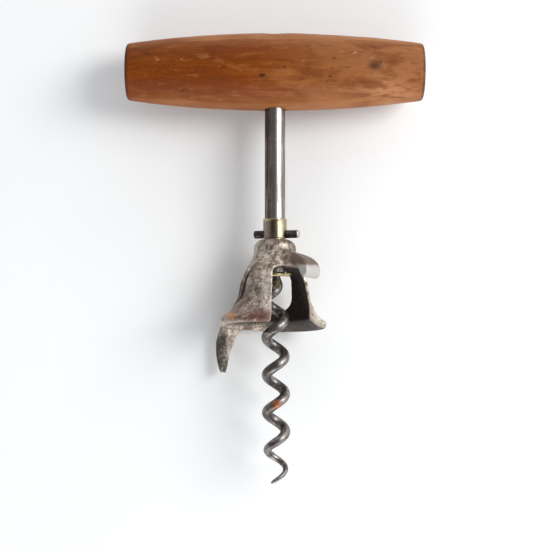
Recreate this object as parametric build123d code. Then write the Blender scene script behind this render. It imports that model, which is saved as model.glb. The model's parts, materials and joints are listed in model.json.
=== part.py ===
from build123d import *
import os
from math import cos, pi, radians, sin, tan

# A T-handled bell corkscrew with a crown-cap lifter and a wire cutter on its bell.
# A turned wooden handle is riveted across the top of a steel shank. A wire worm is brazed into the
# shank's lower end. A loose cast bell turns on the shank between a pinned brass collar above it and a
# brass washer below it: it lands on the bottle's lip, and turning the handle on draws the cork up.
#
# Everything is modelled upright, worm down, in the tool's own frame: the shank's axis is Z, the handle
# lies along X, and z = 0 is the bell's mouth. lay_down() then puts the finished pieces on a table as the
# tool is stored: on its side, with X along the handle, +Y from worm to handle and +Z up.
# Angles round the shank are measured from straight up off the table, positive towards +X.
# Millimetres and degrees. Profiles are lists of (distance from the shank's axis, height).

# ---------------------------------------------------------------- driving dimensions
HANDLE_LENGTH = 100.0
HANDLE_R = 13.0                 # at the middle
HANDLE_END_R = 9.55
HANDLE_EDGE = 1.3               # rounding of the end rims
HANDLE_Z = 86.2                 # height of the handle's axis over the bell's mouth

SHANK_R = 3.45
SHANK_END_Z = 18.45             # the shank's lower end, on the thrust washer
SHOULDER_SINK = 2.0             # the shank's shoulder is let into the handle's underside by this much
TANG_R = 2.4                    # the thinner end of the shank, through the handle
RIVET_WASHER_R = 4.2
RIVET_WASHER_THICK = 0.8
RIVET_WASHER_EDGE = 0.2
RIVET_HEAD_R = 3.3
RIVET_HEAD_HEIGHT = 0.8
RIVET_SINK = 1.75               # depth of the washer's seat below the handle's crest

COLLAR_R = 3.98
COLLAR_BOTTOM_Z = 30.0
COLLAR_LENGTH = 6.65
COLLAR_EDGE = 0.4
PIN_R = 1.35
PIN_LENGTH = 16.0
PIN_EDGE = 0.5
PIN_Z = 31.35
PIN_OFFSET = 0.6                # the pin stands out further at its +X end
PIN_TURN = -20.0                # its +X end points up off the table by this much

WORM_R = 3.05                   # radius of the wire's centreline
WIRE_R = 1.7
WORM_PITCH = 12.6
WORM_LEFT_Z = 9.2               # height at which a turn passes the -X side
LEAD_TOP_Z = 17.6               # where the wire starts to leave the axis
LEAD_LENGTH = 8.4
WORM_TIP_Z = -52.0
WORM_DRIFT = 0.55               # the worm is a little bent: its point stands this far to +X of true
POINT_TURNS = 1.35              # turns over which the wire thins to its point
POINT_R = 0.6
STEPS_PER_TURN = 16             # how finely the helix is followed
STEM_TOP_Z = 29.6               # top of the straight stem inside the shank
SMALL_STEP = 0.01               # step along the wire that gives its direction

WASHER_R = 5.6
WASHER_THICK = 1.1
WASHER_HOLE_R = 2.15
WASHER_EDGE = 0.35

DOME_TOP_Z = 29.35
DOME_TOP_R = 4.7                # edge of the flat on top of the dome
DOME_SHOULDER = (6.42, 28.35)
SKIRT = [
    (7.1, 26.3), (7.5, 23.3), (8.9, 20.7), (10.9, 17.2), (12.0, 12.5), (12.9, 8.5), (14.5, 5.4), (17.4, 2.8),
]
SKIRT_START = (0, -1)           # directions in which the skirt's curve sets out and arrives
SKIRT_FINISH = (1, -0.7)
MOUTH_R = 18.3                  # outer radius of the bell's rim
RIM_CORNER_Z = 1.4              # where the rim is widest
RIM_FOOT_R = 17.4
MOUTH_CONE_R = 16.4             # the cone that centres the bottle's lip
THROAT_R = 11.9
THROAT_Z = 3.1
INSIDE = [(THROAT_R, THROAT_Z), (11.6, 8.0), (10.65, 12.8), (9.45, 17.0), (7.6, 19.9)]
INSIDE_START = (0, 1)
INSIDE_FINISH = (-1, 0.2)
HUB_ROOF_Z = 21.3               # underside of the hub at the bore

LIP_AT = 48.0                   # the bell's plane of symmetry: lip here, spur opposite
OPENING_HALF = 51.0             # half angle of the open front
OPENING_TOP_Z = 19.4
OPENING_CORNER_R = 2.0
WINDOW_OFF_LIP = 123.5          # the two closed windows, either side of the plane
WINDOW_WIDTH = 8.9
WINDOW_HEIGHT = 14.0
WINDOW_Z = 13.6
WINDOW_FROM_R = 7.0             # inside the bell's wall, where the window's cut starts

LIP_WIDTH = 7.2
LIP_TOP = [(5.5, 25.4), (9.0, 24.5), (12.6, 23.2), (15.7, 21.2), (17.2, 18.8), (17.1, 16.6)]
LIP_NOSE = (16.0, 15.4)
LIP_UNDER = [(14.6, 16.3), (13.2, 18.6), (10.8, 20.0), (7.8, 20.5)]
LIP_ROOT = (5.5, 22.0)

SPUR_BACK = [
    (14.2, 5.8), (18.2, 4.0), (21.8, 1.4), (24.0, -2.0), (24.9, -6.8), (24.4, -11.1), (23.4, -13.9),
]
SPUR_BELLY = [(22.7, -15.0), (21.9, -9.9), (20.7, -5.6), (18.9, -2.3), (16.6, 0.6)]
SPUR_ROOT = (14.4, 2.4)
SPUR_SIDE = [(4.6, 7.0), (3.6, 2.5), (2.8, -1.0), (2.1, -6.5), (1.75, -11.0), (1.4, -17.0)]
SPUR_STOCK = 8.0                # half thickness of the stock that the beak's sides are cut from

BELL_LEAN = 7.0                 # the loose bell lies over on the shank by this much
BELL_LEAN_AT = -10.0            # and its mouth leans towards this angle
TABLE_SLOPE = 1.5               # the shank's slope on the table, worm end up

RUN = 0.09                      # running clearance
FIT = 0.02                      # gap of a driven or brazed fit

# ---------------------------------------------------------------- worked-out dimensions
BORE_LENGTH = DOME_TOP_Z - HUB_ROOF_Z
BORE_R = SHANK_R / cos(radians(BELL_LEAN)) + BORE_LENGTH / 2 * tan(radians(BELL_LEAN)) + RUN
SEAT_Z = HANDLE_Z + HANDLE_R - RIVET_SINK
SHOULDER_Z = HANDLE_Z - HANDLE_R + SHOULDER_SINK


def direction(angle):
    """Unit vector square to the shank at an angle measured from straight up off the table."""
    return Vector(sin(radians(angle)), -cos(radians(angle)), 0)


def radial_plane(angle):
    """Sketch plane through the shank's axis: x runs outwards at that angle, y runs up the shank."""
    outwards = direction(angle)
    return Plane(origin=(0, 0, 0), x_dir=outwards, z_dir=outwards.cross(Vector(0, 0, 1)))


def rod(radius, low, high):
    """A plain rod on the shank's axis from height low to height high."""
    return extrude(Pos(0, 0, low) * Circle(radius), high - low)


def tube(outer, inner, low, high):
    """A plain tube on the shank's axis from height low to height high."""
    ring = Circle(outer) - Circle(inner)
    return extrude(Pos(0, 0, low) * ring, high - low)


# ---------------------------------------------------------------- handle and shank
def make_handle():
    """Turned barrel, bored for the tang, let in for the shank's shoulder and for the rivet washer."""
    half = HANDLE_LENGTH / 2
    side = ThreePointArc((-half, HANDLE_END_R), (0, HANDLE_R), (half, HANDLE_END_R))
    ends = Polyline((half, HANDLE_END_R), (half, 0), (-half, 0), (-half, HANDLE_END_R))
    barrel = revolve(Plane.XZ * make_face([side, ends]), Axis.X)
    rims = barrel.edges().filter_by(GeomType.CIRCLE).filter_by(
        lambda edge: abs(edge.radius - HANDLE_END_R) < SMALL_STEP
    )
    barrel = Pos(0, 0, HANDLE_Z) * fillet(rims, HANDLE_EDGE)
    bottom, top = HANDLE_Z - 2 * HANDLE_R, HANDLE_Z + 2 * HANDLE_R
    barrel -= rod(TANG_R + FIT, bottom, top)
    barrel -= rod(SHANK_R + FIT, bottom, SHOULDER_Z + FIT)
    return barrel - rod(RIVET_WASHER_R + FIT, SEAT_Z, top)


def make_rivet_washer():
    washer = tube(RIVET_WASHER_R, TANG_R + FIT, SEAT_Z + FIT, SEAT_Z + FIT + RIVET_WASHER_THICK)
    rim = washer.edges().group_by(Axis.Z)[-1].sort_by(SortBy.RADIUS)[-1]
    return chamfer(rim, RIVET_WASHER_EDGE)


def make_shank():
    """Steel rod with a tang peened over the rivet washer, a socket for the worm and a cross hole."""
    head_z = SEAT_Z + RIVET_WASHER_THICK + 2 * FIT
    head_top_z = head_z + RIVET_HEAD_HEIGHT
    sphere_r = (RIVET_HEAD_R**2 + RIVET_HEAD_HEIGHT**2) / (2 * RIVET_HEAD_HEIGHT)
    head = rod(RIVET_HEAD_R, head_z, head_top_z) & Pos(0, 0, head_top_z - sphere_r) * Sphere(sphere_r)
    shank = rod(SHANK_R, SHANK_END_Z, SHOULDER_Z) + rod(TANG_R, SHOULDER_Z, head_z) + head
    return shank - rod(WIRE_R + FIT, SHANK_END_Z, STEM_TOP_Z + FIT) - pin_blank(PIN_R + FIT)


# ---------------------------------------------------------------- collar and cross pin
def pin_blank(radius):
    """The cross pin's cylinder at any radius: the pin itself or the hole for it."""
    pin = Cylinder(radius, PIN_LENGTH, rotation=(0, 90, 0))
    return Pos(0, 0, PIN_Z) * Rot(0, 0, PIN_TURN) * Pos(PIN_OFFSET, 0, 0) * pin


def make_cross_pin():
    pin = pin_blank(PIN_R)
    return fillet(pin.edges().filter_by(GeomType.CIRCLE), PIN_EDGE)


def make_collar():
    sleeve = tube(COLLAR_R, SHANK_R + FIT, COLLAR_BOTTOM_Z, COLLAR_BOTTOM_Z + COLLAR_LENGTH)
    rim = sleeve.edges().group_by(Axis.Z)[-1].sort_by(SortBy.RADIUS)[-1]
    return fillet(rim, COLLAR_EDGE) - pin_blank(PIN_R + FIT)


# ---------------------------------------------------------------- worm
def wire_turn(z):
    """How far round the shank the wire has gone at height z, in radians."""
    return pi + 2 * pi * (WORM_LEFT_Z - z) / WORM_PITCH


def wire_centre(z):
    """Centre of the wire at height z: on the axis in the stem, then opening out into the helix."""
    opened = min(max((LEAD_TOP_Z - z) / LEAD_LENGTH, 0), 1)
    out = WORM_R * opened * opened * (3 - 2 * opened)
    drift = WORM_DRIFT * max(LEAD_TOP_Z - z, 0) / (LEAD_TOP_Z - WORM_TIP_Z)
    return Vector(out * cos(wire_turn(z)) + drift, -out * sin(wire_turn(z)), z)


def wire_radius(z):
    """The wire thins evenly to its point over the last turns."""
    left = min((z - WORM_TIP_Z) / (POINT_TURNS * WORM_PITCH), 1)
    return POINT_R + (WIRE_R - POINT_R) * left


def wire_section(z):
    """The wire's round section at height z, square to its path."""
    along = wire_centre(z - SMALL_STEP) - wire_centre(z + SMALL_STEP)
    outwards = Vector(cos(wire_turn(z)), -sin(wire_turn(z)), 0)
    return Plane(origin=wire_centre(z), x_dir=outwards, z_dir=along) * Circle(wire_radius(z))


def make_worm():
    """The wire as a straight stem, then short lengths between sections of the helix, down to the point."""
    steps = round((LEAD_TOP_Z - WORM_TIP_Z) / WORM_PITCH * STEPS_PER_TURN)
    drop = (LEAD_TOP_Z - WORM_TIP_Z) / steps
    heights = [STEM_TOP_Z] + [LEAD_TOP_Z - drop * i for i in range(steps + 1)]
    sections = [wire_section(z) for z in heights]
    lengths = [loft([upper, lower]).solid() for upper, lower in zip(sections[:-1], sections[1:])]
    return lengths[0].fuse(*lengths[1:])


# ---------------------------------------------------------------- thrust washer
def make_thrust_washer():
    top = SHANK_END_Z - RUN
    washer = tube(WASHER_R, WASHER_HOLE_R, top - WASHER_THICK, top)
    rims = washer.edges().filter_by(GeomType.CIRCLE).sort_by(SortBy.RADIUS)[-2:]
    return fillet(rims, WASHER_EDGE)


# ---------------------------------------------------------------- bell
def bell_shell():
    """The bell before its windows are cut: a dome on a flared skirt, hollow up to the hub's roof."""
    dome = ThreePointArc((DOME_TOP_R, DOME_TOP_Z), DOME_SHOULDER, SKIRT[0])
    skirt = Spline(*SKIRT, tangents=[SKIRT_START, SKIRT_FINISH])
    rim = ThreePointArc(SKIRT[-1], (MOUTH_R, RIM_CORNER_Z), (RIM_FOOT_R, 0))
    mouth = Polyline((RIM_FOOT_R, 0), (MOUTH_CONE_R, 0), INSIDE[0])
    inside = Spline(*INSIDE, (BORE_R, HUB_ROOF_Z), tangents=[INSIDE_START, INSIDE_FINISH])
    bore = Polyline((BORE_R, HUB_ROOF_Z), (BORE_R, DOME_TOP_Z), (DOME_TOP_R, DOME_TOP_Z))
    return revolve(Plane.XZ * make_face([dome, skirt, rim, mouth, inside, bore]), Axis.Z)


def front_opening():
    """The open front, from leg to leg: it runs out through the rim, so the bell's ring is a horseshoe."""
    inner, outer = THROAT_R / 2, 2 * MOUTH_R
    low, high = direction(LIP_AT - OPENING_HALF), direction(LIP_AT + OPENING_HALF)
    plan = make_face(Polyline(
        low * inner, low * outer, direction(LIP_AT) * outer, high * outer, high * inner, close=True
    ))
    wedge = extrude(Pos(0, 0, -THROAT_Z) * plan, OPENING_TOP_Z + THROAT_Z)
    top_edges = wedge.edges().group_by(Axis.Z)[-1].filter_by(
        lambda edge: abs(edge.length - (outer - inner)) < SMALL_STEP
    )
    return fillet(top_edges, OPENING_CORNER_R)


def window(angle):
    """One of the two closed windows, a tall slot with round ends, cut outwards at that angle."""
    outwards = direction(angle)
    middle = outwards * WINDOW_FROM_R + Vector(0, 0, WINDOW_Z)
    face = Plane(origin=middle, x_dir=(0, 0, 1), z_dir=outwards)
    return extrude(face * SlotOverall(WINDOW_HEIGHT, WINDOW_WIDTH), MOUTH_R - WINDOW_FROM_R)


def make_lip():
    """The cap lifter's lip: a thick tongue that comes off the hub and hooks down at its end."""
    top = Spline(*LIP_TOP)
    nose = ThreePointArc(LIP_TOP[-1], LIP_NOSE, LIP_UNDER[0])
    under = Spline(*LIP_UNDER)
    root = Polyline(LIP_UNDER[-1], LIP_ROOT, LIP_TOP[0])
    profile = radial_plane(LIP_AT) * make_face([top, nose, under, root])
    return extrude(profile, LIP_WIDTH / 2, both=True)


def make_spur():
    """The wire cutter: a beak that swells out of the rim and runs down past the mouth."""
    back = Spline(*SPUR_BACK)
    tip = Line(SPUR_BACK[-1], SPUR_BELLY[0])
    belly = Spline(*SPUR_BELLY)
    root = Polyline(SPUR_BELLY[-1], SPUR_ROOT, SPUR_BACK[0])
    side_view = radial_plane(LIP_AT + 180) * make_face([back, tip, belly, root])
    beak = extrude(side_view, SPUR_STOCK, both=True)
    other_side = [(-x, y) for x, y in reversed(SPUR_SIDE)]
    outwards = direction(LIP_AT + 180)
    face = Plane(origin=(0, 0, 0), x_dir=Vector(0, 0, 1).cross(outwards), z_dir=outwards)
    front_view = face * make_face(Polyline(*SPUR_SIDE, *other_side, close=True))
    return beak & extrude(front_view, 2 * MOUTH_R)


def make_bell_frame():
    """Dome, three legs, horseshoe ring, lip and spur in one casting."""
    casting = bell_shell() - front_opening()
    for side in (-WINDOW_OFF_LIP, WINDOW_OFF_LIP):
        casting -= window(LIP_AT + side)
    casting += make_lip()
    casting += make_spur()
    casting -= rod(BORE_R, HUB_ROOF_Z - BORE_LENGTH, DOME_TOP_Z + BORE_LENGTH)
    towards = direction(BELL_LEAN_AT)
    hinge = Axis((0, 0, HUB_ROOF_Z + BORE_LENGTH / 2), towards.cross(Vector(0, 0, 1)))
    return casting.rotate(hinge, BELL_LEAN)


# ---------------------------------------------------------------- the finished tool
def lay_down(pieces):
    """The tool on its side, resting on the handle and the bell's rim, its box centred on the origin."""
    turned = {name: Rot(-90 - TABLE_SLOPE, 0, 0) * piece for name, piece in pieces.items()}
    box = Compound(list(turned.values())).bounding_box()
    centred = Pos(-box.center().X, -box.center().Y, -box.min.Z)
    return {name: centred * piece for name, piece in turned.items()}


if __name__ == "__main__":
    upright = {
        "handle": make_handle(),
        "rivet_washer": make_rivet_washer(),
        "shank": make_shank(),
        "stop_collar": make_collar(),
        "cross_pin": make_cross_pin(),
        "worm": make_worm(),
        "thrust_washer": make_thrust_washer(),
        "bell_frame": make_bell_frame(),
    }
    os.makedirs("parts", exist_ok=True)
    for name, piece in lay_down(upright).items():
        export_step(piece, f"parts/{name}.step")
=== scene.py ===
import json
import math

import bmesh
import bpy
import numpy as np
from mathutils import Matrix, Vector, noise


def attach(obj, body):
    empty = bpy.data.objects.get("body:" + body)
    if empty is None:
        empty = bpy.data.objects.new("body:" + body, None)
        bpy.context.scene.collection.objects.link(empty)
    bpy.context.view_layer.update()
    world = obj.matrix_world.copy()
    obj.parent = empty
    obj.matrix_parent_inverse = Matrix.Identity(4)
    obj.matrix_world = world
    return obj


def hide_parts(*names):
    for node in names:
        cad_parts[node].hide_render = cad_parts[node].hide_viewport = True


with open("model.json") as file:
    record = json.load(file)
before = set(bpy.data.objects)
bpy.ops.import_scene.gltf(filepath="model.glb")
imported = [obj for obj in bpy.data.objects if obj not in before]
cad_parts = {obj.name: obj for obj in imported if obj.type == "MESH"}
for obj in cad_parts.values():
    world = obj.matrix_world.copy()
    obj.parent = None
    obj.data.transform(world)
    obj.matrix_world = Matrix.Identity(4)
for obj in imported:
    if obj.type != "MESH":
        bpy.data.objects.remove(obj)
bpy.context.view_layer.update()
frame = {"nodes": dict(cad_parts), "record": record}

MM = 0.001

# The shank's axis, from the joint that the bell turns on: ORIGIN is the centre of the mouth on the
# shank's axis, UP runs from worm to handle. OFF points straight up off the table, ACROSS along the handle.
spin = [j for j in frame["record"]["behaviour"]["joints"] if j["name"] == "bell_spin"][0]
ORIGIN = Vector(spin["pos_m"])
UP = Vector(spin["axis"]).normalized()
ACROSS = Vector((1, 0, 0))
OFF = ACROSS.cross(UP).normalized()


def place(x, off, up):
    """A point given in mm: along the handle, off the table, and up the shank from the bell's mouth."""
    return ORIGIN + (ACROSS * x + OFF * off + UP * up) * MM


# ------------------------------------------------------------------ material helpers
class Graph:
    """A short way of writing a material's nodes. Noise scales are in cycles per metre."""

    def __init__(self, name):
        self.mat = bpy.data.materials.new(name)
        self.mat.use_nodes = True
        self.nodes = self.mat.node_tree.nodes
        self.links = self.mat.node_tree.links
        self.bsdf = self.nodes["Principled BSDF"]
        self.coords = self.nodes.new("ShaderNodeTexCoord").outputs["Object"]

    def put(self, socket, value):
        if isinstance(value, bpy.types.NodeSocket):
            self.links.new(value, socket)
        else:
            socket.default_value = value

    def node(self, kind, output=0, settings=None, **inputs):
        n = self.nodes.new(kind)
        for key, value in (settings or {}).items():
            setattr(n, key, value)
        for key, value in inputs.items():
            self.put(n.inputs[key.replace("_", " ")], value)
        return n.outputs[output]

    def stretched(self, sx, sy, sz):
        return self.node("ShaderNodeMapping", Vector=self.coords, Scale=(sx, sy, sz))

    def noise(self, scale, detail=4.0, rough=0.55, vector=None, distortion=0.0):
        return self.node("ShaderNodeTexNoise", Vector=vector or self.coords, Scale=scale, Detail=detail,
                         Roughness=rough, Distortion=distortion)

    def ramp(self, value, low, high, out_low=0.0, out_high=1.0):
        """A smooth step from out_low to out_high as value goes from low to high."""
        n = self.nodes.new("ShaderNodeMapRange")
        n.interpolation_type = "SMOOTHSTEP"
        self.put(n.inputs["Value"], value)
        for key, v in (("From Min", low), ("From Max", high), ("To Min", out_low), ("To Max", out_high)):
            n.inputs[key].default_value = v
        return n.outputs["Result"]

    def times(self, a, b):
        n = self.nodes.new("ShaderNodeMath")
        n.operation = "MULTIPLY"
        self.put(n.inputs[0], a)
        self.put(n.inputs[1], b)
        return n.outputs[0]

    def mix(self, factor, a, b):
        """Colour a where factor is 0, and b where it is 1."""
        n = self.nodes.new("ShaderNodeMix")
        n.data_type = "RGBA"
        self.put(n.inputs["Factor"], factor)
        self.put(n.inputs[6], a if isinstance(a, bpy.types.NodeSocket) else (*a, 1))
        self.put(n.inputs[7], b if isinstance(b, bpy.types.NodeSocket) else (*b, 1))
        return n.outputs[2]

    def near(self, point, radius, soft, stretch):
        """1 within radius of a point, 0 from radius + soft on, in metres. A stretch below 1 widens it."""
        scaled = self.nodes.new("ShaderNodeVectorMath")
        scaled.operation = "MULTIPLY"
        self.put(scaled.inputs[0], self.coords)
        scaled.inputs[1].default_value = stretch
        gap = self.nodes.new("ShaderNodeVectorMath")
        gap.operation = "DISTANCE"
        self.put(gap.inputs[0], scaled.outputs[0])
        gap.inputs[1].default_value = [p * s for p, s in zip(point, stretch)]
        return self.ramp(gap.outputs["Value"], radius, radius + soft, 1.0, 0.0)

    def attribute(self, name):
        """A mask stored on the mesh's points, 0 where the mesh has none of that name."""
        n = self.nodes.new("ShaderNodeAttribute")
        n.attribute_name = name
        return n.outputs["Fac"]

    def bump(self, height, distance, strength=1.0, normal=None):
        n = self.nodes.new("ShaderNodeBump")
        n.inputs["Strength"].default_value = strength
        n.inputs["Distance"].default_value = distance
        self.put(n.inputs["Height"], height)
        if normal is not None:
            self.put(n.inputs["Normal"], normal)
        return n.outputs["Normal"]

    def finish(self, **inputs):
        for key, value in inputs.items():
            if isinstance(value, tuple) and len(value) == 3:
                value = (*value, 1)
            self.put(self.bsdf.inputs[key.replace("_", " ")], value)
        return self.mat


# Dark specks on the side of the handle that faces up: their x, y and size in mm.
WOOD_SPECKS = [
    (-44.4, 58.6, 0.30), (-41.9, 67.6, 0.42), (-39.1, 61.3, 0.36), (-38.0, 64.4, 0.26), (-32.2, 67.1, 0.28),
    (-30.4, 55.6, 0.46), (-17.5, 58.9, 0.24), (1.1, 62.1, 0.26), (3.2, 62.6, 0.38), (5.6, 64.2, 0.28),
    (16.9, 58.1, 0.30), (18.0, 59.7, 0.40), (18.7, 62.3, 0.34), (19.5, 65.7, 0.38), (29.6, 68.1, 0.30),
    (37.0, 70.6, 0.26), (44.6, 68.9, 0.24), (-12.0, 70.4, 0.22), (11.4, 69.0, 0.24), (26.0, 57.4, 0.22),
]
SPECK_TOP = 0.0260
SPECK_STRETCH = (0.75, 1, 0)
# Knots and pits in the same face: the point, solid radius and soft edge in metres, stretch, and depth.
WOOD_KNOTS = [
    ((-0.0042, 0.0600, 0.0250), 0.0003, 0.0005, (0.45, 1, 0.3), 0.95),
    ((-0.0310, 0.0552, 0.0230), 0.0001, 0.0005, (0.6, 1, 0.3), 0.8),
    ((0.0329, 0.0634, 0.0250), 0.0002, 0.0022, (0.65, 1, 0.3), 0.75),
    ((0.0318, 0.0608, 0.0250), 0.0001, 0.0010, (0.7, 1, 0.3), 0.3),
]
# A patch where the varnish is rubbed pale, and the middle of the growth rings on the handle's ends.
PALE_PATCH = (0.0372, 0.0555, 0.0230)
PITH = (0, 0.0640, 0.0105)


def wood_material():
    g = Graph("old_varnished_wood")
    grain = g.noise(1.0, 7, 0.62, vector=g.stretched(26, 620, 620), distortion=0.35)
    fibre = g.noise(1.0, 5, 0.7, vector=g.stretched(110, 2600, 2600))
    patch = g.noise(1.0, 5, 0.6, vector=g.stretched(45, 130, 130), distortion=0.5)
    blotch = g.noise(1.0, 4, 0.6, vector=g.stretched(150, 420, 420))
    pores = g.noise(1.0, 3, 0.6, vector=g.stretched(260, 3400, 3400))
    along = g.node("ShaderNodeSeparateXYZ", Vector=g.coords)
    right = g.ramp(along, -0.012, 0.038)
    base = g.mix(g.ramp(grain, 0.30, 0.72), (0.212, 0.052, 0.0040), (0.160, 0.031, 0.0018))
    base = g.mix(g.times(right, 0.8), base, (0.320, 0.130, 0.048))
    base = g.mix(g.ramp(patch, 0.46, 0.62, 0.0, 0.65), base, (0.135, 0.026, 0.0025))
    base = g.mix(g.ramp(patch, 0.44, 0.34, 0.0, 0.40), base, (0.330, 0.130, 0.038))
    base = g.mix(g.ramp(blotch, 0.56, 0.70, 0.0, 0.45), base, (0.085, 0.020, 0.004))
    base = g.mix(g.ramp(blotch, 0.42, 0.30, 0.0, 0.35), base, (0.370, 0.160, 0.055))
    base = g.mix(g.ramp(fibre, 0.50, 0.70, 0.0, 0.28), base, (0.090, 0.022, 0.005))
    base = g.mix(g.ramp(pores, 0.62, 0.70, 0.0, 0.55), base, (0.045, 0.013, 0.005))
    light = g.noise(330, 4, 0.65)
    base = g.mix(g.ramp(light, 0.66, 0.74, 0.0, 0.55), base, (0.50, 0.26, 0.12))
    dark = g.noise(480, 4, 0.6)
    base = g.mix(g.ramp(dark, 0.69, 0.75, 0.0, 0.8), base, (0.040, 0.012, 0.005))
    for point, radius, soft, stretch, depth in WOOD_KNOTS:
        base = g.mix(g.times(g.near(point, radius, soft, stretch), depth), base, (0.040, 0.013, 0.006))
    pale = g.near(PALE_PATCH, 0.0010, 0.0065, (0.5, 1, 0.3))
    pale = g.times(pale, g.ramp(blotch, 0.58, 0.44, 0.1, 0.55))
    base = g.mix(pale, base, (0.520, 0.250, 0.110))
    ragged = g.noise(1500, 3, 0.6)
    for x, y, size in WOOD_SPECKS:
        spot = g.near((x * MM, y * MM, SPECK_TOP), size * 0.5 * MM, size * 0.9 * MM, SPECK_STRETCH)
        spot = g.times(spot, g.ramp(ragged, 0.34, 0.60, 0.15, 0.8))
        base = g.mix(spot, base, (0.046, 0.013, 0.005))
    # Painted sheen: the handle's top and bottom flanks are lightened, standing in for the bright room
    # reflected at its edges.
    flank = g.times(g.attribute("flank"), g.ramp(grain, 0.38, 0.60, 0.85, 0.42))
    base = g.mix(flank, base, (0.380, 0.160, 0.056))
    base = g.mix(g.attribute("ends"), base, (0.050, 0.016, 0.007))
    rings = g.node("ShaderNodeTexWave", settings={"wave_type": "RINGS", "rings_direction": "X"},
                   Vector=g.node("ShaderNodeMapping", Vector=g.coords, Location=[-c for c in PITH]),
                   Scale=190.0, Distortion=3.0, Detail=3.0, Detail_Scale=1.5)
    grain_end = g.mix(rings, (0.150, 0.054, 0.020), (0.082, 0.027, 0.010))
    grain_end = g.mix(g.ramp(ragged, 0.55, 0.68, 0.0, 0.6), grain_end, (0.030, 0.011, 0.005))
    base = g.mix(g.attribute("end_face"), base, grain_end)
    base = g.mix(g.times(g.attribute("wear"), 0.5), base, (0.40, 0.19, 0.08))
    rough = g.ramp(patch, 0.35, 0.7, 0.42, 0.58)
    normal = g.bump(grain, 0.00012, 0.5)
    normal = g.bump(pores, 0.00006, 0.5, normal)
    return g.finish(Base_Color=base, Roughness=rough, Normal=normal, Specular_IOR_Level=0.13)


def shank_material():
    g = Graph("worn_shank_steel")
    stain = g.noise(150, 5, 0.6, vector=g.stretched(1, 0.5, 1))
    streak = g.noise(1.0, 5, 0.6, vector=g.stretched(900, 70, 900))
    pit = g.noise(2400, 3, 0.6)
    base = g.mix(g.ramp(stain, 0.36, 0.66), (0.30, 0.265, 0.240), (0.120, 0.092, 0.075))
    base = g.mix(g.ramp(streak, 0.50, 0.72, 0.0, 0.5), base, (0.42, 0.38, 0.34))
    across = g.node("ShaderNodeSeparateXYZ", Vector=g.coords)
    # Painted shade: the shank's left side is darkened, standing in for the dim side of the room it reflects.
    left = g.ramp(across, -0.0026, -0.0008, 1.0, 0.0)
    left = g.times(left, g.ramp(streak, 0.38, 0.60, 0.95, 0.45))
    base = g.mix(left, base, (0.034, 0.022, 0.017))
    mottle = g.noise(560, 6, 0.72)
    base = g.mix(g.ramp(mottle, 0.54, 0.64, 0.0, 0.7), base, (0.070, 0.052, 0.044))
    # Painted highlight: the shank is lightened from just left of its axis rightwards, standing in for the
    # lamp's bright streak.
    painted_highlight_band = g.times(g.ramp(across, -0.0016, -0.0006), g.ramp(stain, 0.34, 0.56, 0.75, 0.25))
    base = g.mix(painted_highlight_band, base, (0.66, 0.62, 0.59))
    # Painted reflection: a darker band along the shank's right edge, beside the painted highlight.
    right = g.times(g.ramp(across, 0.0016, 0.0024), g.ramp(streak, 0.40, 0.58, 0.4, 0.9))
    base = g.mix(right, base, (0.150, 0.130, 0.120))
    base = g.mix(g.ramp(pit, 0.66, 0.74, 0.0, 0.7), base, (0.05, 0.03, 0.02))
    rough = g.ramp(stain, 0.3, 0.7, 0.22, 0.42)
    normal = g.bump(pit, 0.00005, 0.5)
    normal = g.bump(streak, 0.00004, 0.4, normal)
    return g.finish(Base_Color=base, Metallic=1.0, Roughness=rough, Normal=normal)


def brass_material(name, light, dark, roughness):
    g = Graph(name)
    tarnish = g.noise(260, 5, 0.6)
    fine = g.noise(2200, 3, 0.6)
    base = g.mix(g.ramp(tarnish, 0.38, 0.64), light, dark)
    base = g.mix(g.ramp(fine, 0.58, 0.70, 0.0, 0.5), base, (0.10, 0.07, 0.03))
    # Painted shade: the collar's left side is darkened, standing in for the dim side of the room its brass
    # reflects.
    base = g.mix(g.times(g.attribute("darkening"), 0.85), base, (0.200, 0.150, 0.128))
    normal = g.bump(fine, 0.00005, 0.45)
    rough = g.ramp(tarnish, 0.3, 0.7, roughness - 0.08, roughness + 0.1)
    return g.finish(Base_Color=base, Metallic=1.0, Roughness=rough, Normal=normal)


def pin_material():
    g = Graph("blackened_pin_steel")
    patch = g.noise(420, 4, 0.6)
    fine = g.noise(2600, 3, 0.6)
    # Painted highlight on the pin's right end.
    end = g.attribute("painted_end_highlight")
    base = g.mix(g.ramp(patch, 0.4, 0.65), (0.060, 0.050, 0.048), (0.150, 0.130, 0.120))
    base = g.mix(end, base, (0.55, 0.52, 0.50))
    normal = g.bump(fine, 0.00006, 0.5)
    rough = g.ramp(patch, 0.3, 0.7, 0.30, 0.48)
    return g.finish(Base_Color=base, Metallic=1.0, Roughness=rough, Normal=normal)


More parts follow.
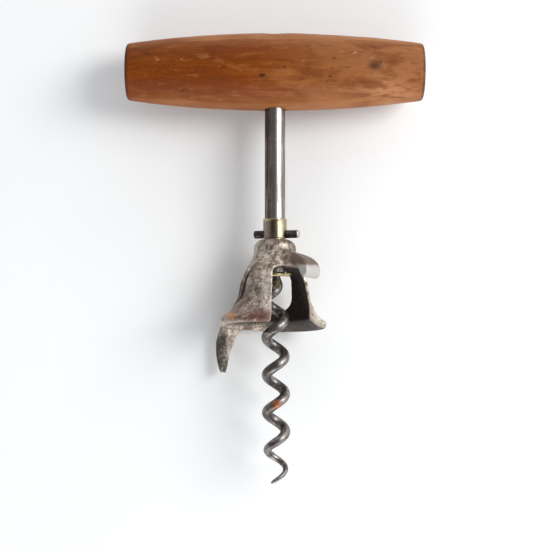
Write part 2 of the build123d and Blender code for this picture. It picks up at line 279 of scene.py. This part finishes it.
def bell_material():
    g = Graph("pitted_nickel_on_iron")
    cloud = g.noise(120, 5, 0.6)
    mottle = g.noise(620, 7, 0.78)
    grit = g.noise(1700, 5, 0.7)
    spots = g.noise(900, 4, 0.65)
    base = g.mix(g.ramp(mottle, 0.42, 0.58), (0.630, 0.555, 0.465), (0.180, 0.128, 0.097))
    base = g.mix(g.ramp(cloud, 0.42, 0.62, 0.0, 0.7), base, (0.205, 0.145, 0.112))
    base = g.mix(g.ramp(grit, 0.55, 0.68, 0.0, 0.8), base, (0.070, 0.045, 0.032))
    base = g.mix(g.ramp(spots, 0.57, 0.66, 0.0, 0.80), base, (0.76, 0.71, 0.62))
    # Painted highlight: a pale strip down the front leg's rounded right edge.
    painted_leg_highlight = g.times(g.attribute("painted_leg_highlight"), g.ramp(grit, 0.62, 0.42))
    base = g.mix(painted_leg_highlight, base, (0.74, 0.69, 0.63))
    shaded = g.times(g.attribute("shaded"), g.ramp(mottle, 0.36, 0.54, 0.35, 1.0))
    base = g.mix(shaded, base, (0.105, 0.072, 0.055))
    stain = g.noise(1.0, 4, 0.6, vector=g.stretched(150, 55, 150))
    base = g.mix(g.ramp(stain, 0.54, 0.64, 0.0, 0.75), base, (0.115, 0.080, 0.060))
    base = g.mix(g.ramp(stain, 0.50, 0.36, 0.0, 0.55), base, (0.640, 0.590, 0.520))
    # Painted shade: faces turned down near the mouth are darkened almost to black.
    base = g.mix(g.times(g.attribute("underside_shade"), 0.95), base, (0.048, 0.040, 0.036))
    # Sooty mottle on the spur, and painted shade: its left flank and tip are darkened where they face away
    # from the lamp.
    darkening = g.ramp(g.noise(520, 6, 0.75), 0.32, 0.54)
    base = g.mix(g.times(g.attribute("spur"), darkening), base, (0.062, 0.054, 0.040))
    # Painted shade in the hollows, and dark grime in the pits.
    base = g.mix(g.times(g.attribute("hollow_shade_and_pit_grime"), 0.8), base, (0.085, 0.050, 0.032))
    # Lighter proud edges: wear, and partly a painted highlight along the rounded edges.
    base = g.mix(g.times(g.attribute("wear"), 0.85), base, (0.70, 0.66, 0.61))
    # Painted shade: the inside of the bell darkened almost to black.
    base = g.mix(g.attribute("inner_shade"), base, (0.027, 0.015, 0.012))
    rusty = g.ramp(g.noise(700, 5, 0.7), 0.34, 0.54)
    base = g.mix(g.times(g.attribute("rust"), rusty), base, (0.125, 0.042, 0.024))
    base = g.mix(g.times(g.attribute("ochre"), rusty), base, (0.620, 0.240, 0.025))
    base = g.mix(g.times(g.attribute("brown"), 0.85), base, (0.135, 0.088, 0.070))
    base = g.mix(g.attribute("bright"), base, (0.44, 0.42, 0.40))
    rough = g.ramp(mottle, 0.35, 0.65, 0.36, 0.56)
    metal = g.ramp(g.attribute("rust"), 0.0, 1.0, 0.62, 0.10)
    normal = g.bump(mottle, 0.00018, 0.6)
    normal = g.bump(grit, 0.00010, 0.6, normal)
    return g.finish(Base_Color=base, Metallic=metal, Roughness=rough, Normal=normal)


def worm_material():
    g = Graph("dark_wire_steel")
    cloud = g.noise(260, 5, 0.62)
    fine = g.noise(1900, 5, 0.7)
    worn = g.noise(620, 6, 0.72)
    base = g.mix(g.ramp(cloud, 0.38, 0.66), (0.230, 0.215, 0.208), (0.080, 0.069, 0.065))
    base = g.mix(g.ramp(worn, 0.53, 0.68, 0.0, 0.6), base, (0.50, 0.48, 0.46))
    base = g.mix(g.ramp(fine, 0.56, 0.70, 0.0, 0.7), base, (0.055, 0.040, 0.034))
    rusty = g.ramp(g.noise(900, 4, 0.7), 0.34, 0.50)
    base = g.mix(g.times(g.attribute("rust"), rusty), base, (0.52, 0.165, 0.045))
    rough = g.ramp(cloud, 0.3, 0.7, 0.30, 0.46)
    normal = g.bump(fine, 0.00008, 0.5)
    return g.finish(Base_Color=base, Metallic=0.95, Roughness=rough, Normal=normal)


# ------------------------------------------------------------------ mesh helpers
def new_object(name, mesh):
    ob = bpy.data.objects.new(name, mesh)
    bpy.context.scene.collection.objects.link(ob)
    return ob


def baked(ob):
    """The object with its modifiers applied to its mesh."""
    graph = bpy.context.evaluated_depsgraph_get()
    mesh = bpy.data.meshes.new_from_object(ob.evaluated_get(graph))
    ob.modifiers.clear()
    ob.data = mesh
    return ob


def cast_copy(name, node, voxel, smoothing):
    """A node's shape as an even skin with softened edges, as a casting or turned wood has."""
    source = frame["nodes"][node]
    ob = new_object(name, source.data.copy())
    ob.data.transform(source.matrix_world)
    ob.data.materials.clear()
    bm = bmesh.new()
    bm.from_mesh(ob.data)
    bmesh.ops.remove_doubles(bm, verts=bm.verts, dist=1e-7)
    bm.to_mesh(ob.data)
    bm.free()
    remesh = ob.modifiers.new("skin", "REMESH")
    remesh.mode = "VOXEL"
    remesh.voxel_size = voxel
    smooth = ob.modifiers.new("soften", "SMOOTH")
    smooth.iterations = smoothing
    smooth.factor = 0.5
    return baked(ob)


def arrays(mesh):
    """The points of a mesh and their normals."""
    n = len(mesh.vertices)
    co = np.empty(n * 3, dtype=np.float32)
    no = np.empty(n * 3, dtype=np.float32)
    mesh.vertices.foreach_get("co", co)
    mesh.vertices.foreach_get("normal", no)
    return co.reshape(-1, 3).astype(float), no.reshape(-1, 3).astype(float)


def set_positions(mesh, co):
    mesh.vertices.foreach_set("co", co.astype(np.float32).ravel())
    mesh.update()


def set_mask(mesh, name, values):
    """Stores values, held between 0 and 1, for a material's attribute() to read."""
    layer = mesh.attributes.new(name, "FLOAT", "POINT")
    layer.data.foreach_set("value", np.clip(values, 0, 1).astype(np.float32))


def shade_smooth(ob):
    ob.data.polygons.foreach_set("use_smooth", [True] * len(ob.data.polygons))


def edges_of(mesh):
    e = np.empty(len(mesh.edges) * 2, dtype=np.int64)
    mesh.edges.foreach_get("vertices", e)
    return e.reshape(-1, 2)


def smoothed(values, edges, count, rounds):
    """Values averaged over each point's neighbours a number of times."""
    out = values.astype(float).copy()
    degree = np.bincount(edges.ravel(), minlength=count).astype(float)
    degree[degree == 0] = 1
    for _ in range(rounds):
        total = np.zeros_like(out)
        np.add.at(total, edges[:, 0], out[edges[:, 1]])
        np.add.at(total, edges[:, 1], out[edges[:, 0]])
        shape = (-1,) + (1,) * (out.ndim - 1)
        out = 0.5 * out + 0.5 * total / degree.reshape(shape)
    return out


def curvature(mesh, rounds):
    """How far each point stands proud of its surroundings, in metres: edges above 0, hollows below."""
    co, no = arrays(mesh)
    around = smoothed(co, edges_of(mesh), len(co), rounds)
    return ((co - around) * no).sum(axis=1)


def noise_at(co, scale, octaves, seed):
    """Fractal noise, roughly -1 to 1, at each point. scale is in cycles per metre."""
    shift = Vector((seed * 13.1, seed * 7.7, seed * 3.3))
    return np.array([noise.fractal(Vector(p) * scale + shift, 0.6, 2.1, octaves) for p in co.tolist()])


def smoothstep(x, low, high):
    """0 at low, 1 at high, smooth between. Falls from 1 to 0 where low is above high."""
    t = np.clip((x - low) / (high - low), 0, 1)
    return t * t * (3 - 2 * t)


def bump_at(x, y, x_at, y_at, x_size, y_size):
    """A round soft hill, 1 high, over the point (x_at, y_at)."""
    return np.exp(-(((x - x_at) / x_size) ** 2 + ((y - y_at) / y_size) ** 2))


def band_at(x, x_at, x_size):
    """A soft ridge, 1 high, along the line x = x_at."""
    return np.exp(-(((x - x_at) / x_size) ** 2))


def finish_piece(ob, body, node, material):
    shade_smooth(ob)
    ob.data.materials.append(material)
    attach(ob, body)
    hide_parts(node)


def shank_frame(co):
    """Along the handle, off the table and up the shank, in mm, for each point."""
    rel = (co - np.array(ORIGIN)) / MM
    return rel @ np.array(ACROSS), rel @ np.array(OFF), rel @ np.array(UP)


# ------------------------------------------------------------------ handle
DENTS = 26
DENT_STRETCH = np.array([0.45, 1.0, 1.0])
RIPPLE_STRETCH = np.array([0.25, 1, 1])


def dents_at(co):
    """The depth, in mm, of the small knocks in the handle at each point. They are long with the grain."""
    rng = np.random.default_rng(7)
    depth = np.zeros(len(co))
    for _ in range(DENTS):
        spot = co[rng.integers(len(co))]
        size = rng.uniform(0.25, 0.8) * MM
        away = np.linalg.norm((co - spot) * DENT_STRETCH, axis=1)
        depth += rng.uniform(0.05, 0.16) * band_at(away, 0, size)
    return depth


def handle_masks(mesh, co, no, ripple):
    along = np.abs(co[:, 0]) / MM
    proud = curvature(mesh, 12) / MM
    set_mask(mesh, "wear", smoothstep(proud, 0.10, 0.24))
    height = shank_frame(co)[2]
    height = height - (height.max() + height.min()) / 2 + 0.9 * ripple
    # Painted sheen along the handle's top flank, and more weakly along its bottom one.
    set_mask(mesh, "flank", smoothstep(height, 6.0, 11.5) + 0.65 * smoothstep(-height, 8.0, 12.0))
    rim = smoothstep(along, along.max() - 1.25, along.max() - 0.55)
    set_mask(mesh, "end_face", smoothstep(np.abs(no[:, 0]), 0.90, 0.99))
    set_mask(mesh, "ends", rim * (0.75 + 0.25 * noise_at(co, 500, 3, 3)))


def make_handle():
    ob = cast_copy("turned_handle", "handle", 0.00038, 3)
    co, no = arrays(ob.data)
    along = np.abs(co[:, 0]) / MM
    ripple = noise_at(co * RIPPLE_STRETCH, 420, 3, 2)
    depth = 0.10 * smoothstep(noise_at(co, 75, 3, 1), 0.15, 0.75) + 0.035 * smoothstep(ripple, 0.0, 0.8)
    depth += dents_at(co)
    end = smoothstep(along, along.max() - 0.6, along.max() - 0.2)
    set_positions(ob.data, co - no * (depth * (1 - end) * MM)[:, None])
    handle_masks(ob.data, co, no, ripple)
    finish_piece(ob, "tool", "handle", wood_material())


# ------------------------------------------------------------------ bell
# Angles round the shank, in degrees from straight up off the table towards the handle's right.
LIP_AT = 48
SPUR_AT = LIP_AT + 180


def filleted(mesh, co):
    """The casting's fillets: where lip and spur grow out of the bell, the skin is drawn smooth."""
    x, off, up = shank_frame(co)
    radius = np.hypot(x, off)
    angle = np.degrees(np.arctan2(x, off))
    lip_root = smoothstep(radius, 13.6, 11.4) * smoothstep(np.abs(angle - LIP_AT), 46, 34)
    lip_root *= smoothstep(up, 18.6, 20.4) * smoothstep(up, 28.4, 27.0)
    from_spur = np.abs((angle - SPUR_AT + 180) % 360 - 180)
    spur_root = smoothstep(np.abs(up - 0.5), 6.0, 3.5) * smoothstep(from_spur, 52, 32)
    weight = np.maximum(lip_root, spur_root)[:, None]
    edges = edges_of(mesh)
    for _ in range(5):
        co = co + weight * (smoothed(co, edges, len(co), 9) - co)
    return co


def eased(mesh, co, no):
    """Outer edges rubbed round, flats and hollows left as they are."""
    around = smoothed(co, edges_of(mesh), len(co), 26)
    proud = ((co - around) * no).sum(axis=1) / MM
    return co + smoothstep(proud, 0.10, 0.30)[:, None] * (around - co)


def bell_masks(mesh, pits):
    """Where the bell is worn, sooty or rusty, and where shade and highlights are painted on it. Places are in
    the shank's frame, in mm.
    """
    co, no = arrays(mesh)
    x, off, up = shank_frame(co)
    radius = np.hypot(x, off)
    outward = np.outer(x / radius, ACROSS) + np.outer(off / radius, OFF)
    facing = (no * outward).sum(axis=1)
    proud = curvature(mesh, 10) / MM
    angle = np.degrees(np.arctan2(x, off))
    lip = smoothstep(radius, 12.8, 14.6) * smoothstep(up, 13.0, 15.5) * (np.abs(angle - LIP_AT) < 40)
    # Painted shade inside the bell, on faces turned towards the axis.
    inner_shade = smoothstep(-facing, 0.15, 0.6) * smoothstep(up, -0.5, 2.0) * (1 - lip)
    set_mask(mesh, "inner_shade", inner_shade * 0.97)
    # Wear on proud edges, partly a painted highlight on the rounded edges.
    set_mask(mesh, "wear", smoothstep(proud, 0.05, 0.16) * (1 - inner_shade))
    # Painted shade in hollows, and grime in the pits.
    set_mask(mesh, "hollow_shade_and_pit_grime", smoothstep(-proud, 0.015, 0.07) + 0.6 * smoothstep(pits, 0.35, 0.9))

    out = x * math.sin(math.radians(LIP_AT)) + off * math.cos(math.radians(LIP_AT))
    nosing = smoothstep(out, 12.6, 13.6) * smoothstep(up, 21.2, 20.0) * lip
    tongue = smoothstep(out, 7.0, 11.5) * smoothstep(up, 18.5, 20.0)
    set_mask(mesh, "bright", nosing * 0.95)
    set_mask(mesh, "brown", tongue * (1 - nosing))

    top_side = off > 0
    downward = smoothstep(-(no @ np.array(UP)), 0.35, 0.8)
    # Painted shade on faces turned down near the mouth.
    set_mask(mesh, "underside_shade", downward * smoothstep(up, 7.0, 4.0) * smoothstep(x, -5.0, 0.0))
    leg = top_side * smoothstep(up, 3.5, 6.0) * smoothstep(up, 21.0, 18.0)
    # Painted highlight down the front leg's rounded right edge.
    set_mask(mesh, "painted_leg_highlight", leg * band_at(x, -3.0, 1.5) * 0.9)

    skirt = 1.3 * bump_at(x, up, -6.0, 3.8, 7.0, 2.2) * top_side
    streak = leg * band_at(x + 0.25 * (up - 6.7), -4.6, 1.3) * 0.6
    crown = smoothstep(up, 24.5, 26.5) * top_side * 0.5
    grey = smoothstep(x, 9.5, 12.5) * (1 - lip) * (1 - inner_shade) * 0.75
    set_mask(mesh, "shaded", np.maximum.reduce([streak, crown, grey, 0.55 * skirt]))

    # The spur's left flank and tip: soot, and painted shade on faces turned from the lamp.
    flank = smoothstep(-up, 0.5, 4.0) * smoothstep(-x, 15.6, 17.2)
    set_mask(mesh, "spur", np.maximum(flank, smoothstep(-up, 10.5, 13.0)))
    foot = bump_at(x, up, -13.0, 3.6, 4.2, 1.5) * top_side
    dome = smoothstep(up, 28.2, 29.6) * 0.45
    set_mask(mesh, "rust", np.maximum.reduce([foot, dome, skirt]) * (1 - inner_shade))
    set_mask(mesh, "ochre", bump_at(x, up, -14.6, 4.2, 1.5, 0.8) * top_side)


def make_bell():
    ob = cast_copy("cast_bell", "bell_frame", 0.00024, 16)
    co, _ = arrays(ob.data)
    set_positions(ob.data, filleted(ob.data, co))
    for _ in range(2):
        co, no = arrays(ob.data)
        set_positions(ob.data, eased(ob.data, co, no))
    co, no = arrays(ob.data)
    coarse = noise_at(co, 260, 4, 4)
    pits = noise_at(co, 1100, 4, 5)
    depth = 0.05 * smoothstep(coarse, 0.0, 0.8) + 0.07 * smoothstep(pits, 0.25, 0.85)
    set_positions(ob.data, co - no * (depth * MM)[:, None])
    bell_masks(ob.data, pits)
    finish_piece(ob, "bell", "bell_frame", bell_material())


# ------------------------------------------------------------------ worm
# The wire's sizes in mm, with heights above the bell's mouth. Below LEAD_TOP the wire leaves the shank's axis
# over a length of LEAD, is at its left at LEFT_UP, and narrows over the last POINT_TURNS turns.
WORM_R = 3.05
WIRE_R = 1.7
PITCH = 12.6
LEFT_UP = 9.2
LEAD_TOP = 17.6
LEAD = 8.4
TIP_UP = -52.0
WORM_DRIFT = 0.55
POINT_TURNS = 1.35
POINT_R = 0.6
STEM_TOP = 29.6
STEM_HEIGHTS = [STEM_TOP, 26.0, 22.0, 19.5, 18.4]
RINGS_PER_TURN = 72
RING_POINTS = 40
ROUNDED_TIP = 1.1
SMALLEST_RING = 0.03


def wire_centre(up):
    """The middle of the wire at a height, as x, off and up."""
    opened = min(max((LEAD_TOP - up) / LEAD, 0), 1)
    out = WORM_R * opened * opened * (3 - 2 * opened)
    turn = math.pi + 2 * math.pi * (LEFT_UP - up) / PITCH
    drift = WORM_DRIFT * max(LEAD_TOP - up, 0) / (LEAD_TOP - TIP_UP)
    return Vector((out * math.cos(turn) + drift, out * math.sin(turn), up))


def wire_radius(up):
    """The wire's radius, which narrows towards the point and ends in a round tip."""
    left = min((up - TIP_UP) / (POINT_TURNS * PITCH), 1)
    r = POINT_R + (WIRE_R - POINT_R) * left
    closing = min((up - TIP_UP) / ROUNDED_TIP, 1)
    r *= math.sqrt(max(1 - (1 - closing) ** 2, 0.0)) if up > TIP_UP else 0.0
    return max(r, SMALLEST_RING)


def worm_rings(bm):
    """Rings of points square to the wire, from the top of its stem to its tip, without twist."""
    steps = int((LEAD_TOP - TIP_UP) / PITCH * RINGS_PER_TURN)
    heights = STEM_HEIGHTS + [LEAD_TOP - (LEAD_TOP - TIP_UP) * i / steps for i in range(steps + 1)]
    rings = []
    side = Vector((1, 0, 0))
    for up in heights:
        along = (wire_centre(up - 0.02) - wire_centre(up + 0.02)).normalized()
        side = (side - along * side.dot(along)).normalized()
        other = along.cross(side)
        ring = []
        for k in range(RING_POINTS):
            a = 2 * math.pi * k / RING_POINTS
            p = wire_centre(up) + (side * math.cos(a) + other * math.sin(a)) * wire_radius(up)
            ring.append(bm.verts.new(place(*p)))
        rings.append(ring)
    return rings


def worm_mesh():
    bm = bmesh.new()
    rings = worm_rings(bm)
    for upper, lower in zip(rings[:-1], rings[1:]):
        for k in range(RING_POINTS):
            n = (k + 1) % RING_POINTS
            bm.faces.new((upper[k], upper[n], lower[n], lower[k]))
    bm.faces.new(rings[0])
    bm.faces.new(list(reversed(rings[-1])))
    bmesh.ops.recalc_face_normals(bm, faces=bm.faces)
    mesh = bpy.data.meshes.new("wire_worm")
    bm.to_mesh(mesh)
    bm.free()
    return mesh


def make_worm():
    mesh = worm_mesh()
    ob = new_object("wire_worm", mesh)
    co, no = arrays(mesh)
    lumps = noise_at(co, 420, 3, 6)
    pits = noise_at(co, 1500, 4, 8)
    depth = 0.02 * lumps.clip(0, 1) + 0.035 * smoothstep(pits, 0.3, 0.9)
    x, off, up = shank_frame(co)
    depth *= smoothstep(up, TIP_UP + 0.5, TIP_UP + 4) * (up < LEAD_TOP)
    set_positions(mesh, co - no * (depth * MM)[:, None])
    rust = 1.1 * bump_at(x, up, 0.5, -25.6, 1.4, 1.2) * (off > 1)
    speckle = smoothstep(noise_at(co, 260, 3, 9), 0.45, 0.8) * 0.10
    set_mask(mesh, "rust", np.maximum(rust, speckle))
    finish_piece(ob, "tool", "worm", worm_material())


# ------------------------------------------------------------------ small turned pieces
def make_small(name, node, body, voxel, smoothing, material, masks=None):
    ob = cast_copy(name, node, voxel, smoothing)
    if masks:
        masks(ob.data)
    finish_piece(ob, body, node, material)


def collar_masks(mesh):
    """The collar's ragged brazed top edge, and painted shade darkening its left side."""
    co, no = arrays(mesh)
    x, _, up = shank_frame(co)
    ragged = noise_at(co, 700, 3, 11)
    top = smoothstep(up, up.max() - 0.9, up.max() - 0.2)
    sideways = no - np.outer(no @ np.array(UP), np.array(UP))
    set_positions(mesh, co + sideways * (top * (0.04 + 0.18 * ragged) * MM)[:, None])
    below_rim = smoothstep(up, up.max() - 0.5, up.max() - 1.2)
    set_mask(mesh, "darkening", smoothstep(-x + 0.8 * ragged, -0.9, 0.9) * below_rim)


def pin_masks(mesh):
    """The pin's right end, painted bright as a highlight."""
    co, _ = arrays(mesh)
    x = co[:, 0] / MM
    set_mask(mesh, "painted_end_highlight", smoothstep(x, x.max() - 1.5, x.max() - 0.8) * 0.9)


# ------------------------------------------------------------------ stage, light, camera
TABLE_HALF = 6.0
TABLE_GAP = 0.00005
# The room's light by the height that it comes from, and how much of it comes from the left and the right.
WALL_STOP = 0.30
WALL_LIGHT = (1.0, 1.0, 1.0, 1)
MIDDLE_STOP = 0.66
MIDDLE_LIGHT = (0.50, 0.51, 0.53, 1)
CEILING_STOP = 0.86
CEILING_LIGHT = (0.10, 0.10, 0.105, 1)
LEFT_LIGHT = 0.55
RIGHT_LIGHT = 1.35
ROOM_STRENGTH = 1.29


def make_stage():
    mesh = bpy.data.meshes.new("table_top")
    bm = bmesh.new()
    bmesh.ops.create_grid(bm, x_segments=8, y_segments=8, size=TABLE_HALF)
    bm.to_mesh(mesh)
    bm.free()
    floor = new_object("table_top", mesh)
    floor.location = (0, 0, -TABLE_GAP)
    g = Graph("pale_paper")
    shade = g.ramp(g.noise(9, 3, 0.5), 0.3, 0.7)
    g.finish(Base_Color=g.mix(shade, (0.868, 0.880, 0.888), (0.843, 0.855, 0.863)), Roughness=0.75)
    mesh.materials.append(g.mat)


def area_light(name, position, target, size, energy, colour):
    data = bpy.data.lights.new(name, "AREA")
    data.shape = "RECTANGLE"
    data.size, data.size_y = size
    data.energy = energy
    data.color = colour
    ob = bpy.data.objects.new(name, data)
    bpy.context.scene.collection.objects.link(ob)
    ob.location = position
    ob.rotation_euler = (Vector(target) - Vector(position)).to_track_quat("-Z", "Y").to_euler()


def make_light():
    """A dim ceiling, bright walls, a soft key from the right, and a lit wall past the worm's point."""
    world = bpy.data.worlds.new("soft_room")
    world.use_nodes = True
    tree = world.node_tree
    back = tree.nodes["Background"]
    where = tree.nodes.new("ShaderNodeTexCoord")
    split = tree.nodes.new("ShaderNodeSeparateXYZ")
    tree.links.new(where.outputs["Generated"], split.inputs[0])
    ramp = tree.nodes.new("ShaderNodeValToRGB")
    tree.links.new(split.outputs["Z"], ramp.inputs["Fac"])
    stops = ramp.color_ramp.elements
    stops[0].position = WALL_STOP
    stops[0].color = WALL_LIGHT
    stops[1].position = CEILING_STOP
    stops[1].color = CEILING_LIGHT
    stops.new(MIDDLE_STOP).color = MIDDLE_LIGHT
    side = tree.nodes.new("ShaderNodeMapRange")
    side.interpolation_type = "SMOOTHSTEP"
    tree.links.new(split.outputs["X"], side.inputs["Value"])
    side_values = {"From Min": -0.9, "From Max": 0.35, "To Min": LEFT_LIGHT, "To Max": RIGHT_LIGHT}
    for key, value in side_values.items():
        side.inputs[key].default_value = value
    blend = tree.nodes.new("ShaderNodeMix")
    blend.data_type = "RGBA"
    blend.blend_type = "MULTIPLY"
    blend.inputs["Factor"].default_value = 1.0
    tree.links.new(ramp.outputs["Color"], blend.inputs[6])
    tree.links.new(side.outputs["Result"], blend.inputs[7])
    tree.links.new(blend.outputs[2], back.inputs["Color"])
    back.inputs["Strength"].default_value = ROOM_STRENGTH
    bpy.context.scene.world = world
    bpy.context.scene.view_settings.view_transform = "Standard"
    area_light("key", (0.75, 0.28, 0.72), (0, 0, 0.01), (0.44, 0.60), 8.0, (1.0, 0.985, 0.96))
    area_light("near_wall", (-0.10, -0.95, 0.38), (0, 0.05, 0.01), (0.9, 0.5), 5.0, (1, 1, 1))


# The camera looks down at CENTRE from a little towards the handle, and sees SEEN_WIDTH across there.
CAMERA_HEIGHT = 0.44
SEEN_WIDTH = 0.1852
CENTRE = Vector((0.0, -0.0057, 0.015))
CAMERA_SHIFT_UP = 0.003
SENSOR = 36


def make_camera():
    data = bpy.data.cameras.new("camera")
    ob = bpy.data.objects.new("camera", data)
    bpy.context.scene.collection.objects.link(ob)
    position = CENTRE + Vector((0, CAMERA_SHIFT_UP, CAMERA_HEIGHT))
    forward = (CENTRE - position).normalized()
    right = Vector((1, 0, 0))
    up = right.cross(forward).normalized()
    rotation = Matrix((right, up, -forward)).transposed().to_4x4()
    ob.matrix_world = Matrix.Translation(position) @ rotation
    distance = (CENTRE - position).length
    data.sensor_width = SENSOR
    data.lens = SENSOR * distance / SEEN_WIDTH
    data.clip_start = 0.01
    bpy.context.scene.camera = ob


make_handle()
make_bell()
make_worm()
steel = shank_material()
make_small("steel_shank", "shank", "tool", 0.00016, 2, steel)
make_small("peened_washer", "rivet_washer", "tool", 0.00012, 2, steel)
make_small("brass_collar", "stop_collar", "tool", 0.00012, 3,
           brass_material("olive_brass", (0.50, 0.44, 0.24), (0.30, 0.235, 0.17), 0.26), collar_masks)
make_small("stop_pin", "cross_pin", "tool", 0.00010, 2, pin_material(), pin_masks)
make_small("brass_washer", "thrust_washer", "washer", 0.00012, 3,
           brass_material("pale_brass", (0.62, 0.52, 0.31), (0.42, 0.34, 0.18), 0.36))
make_stage()
make_light()
make_camera()
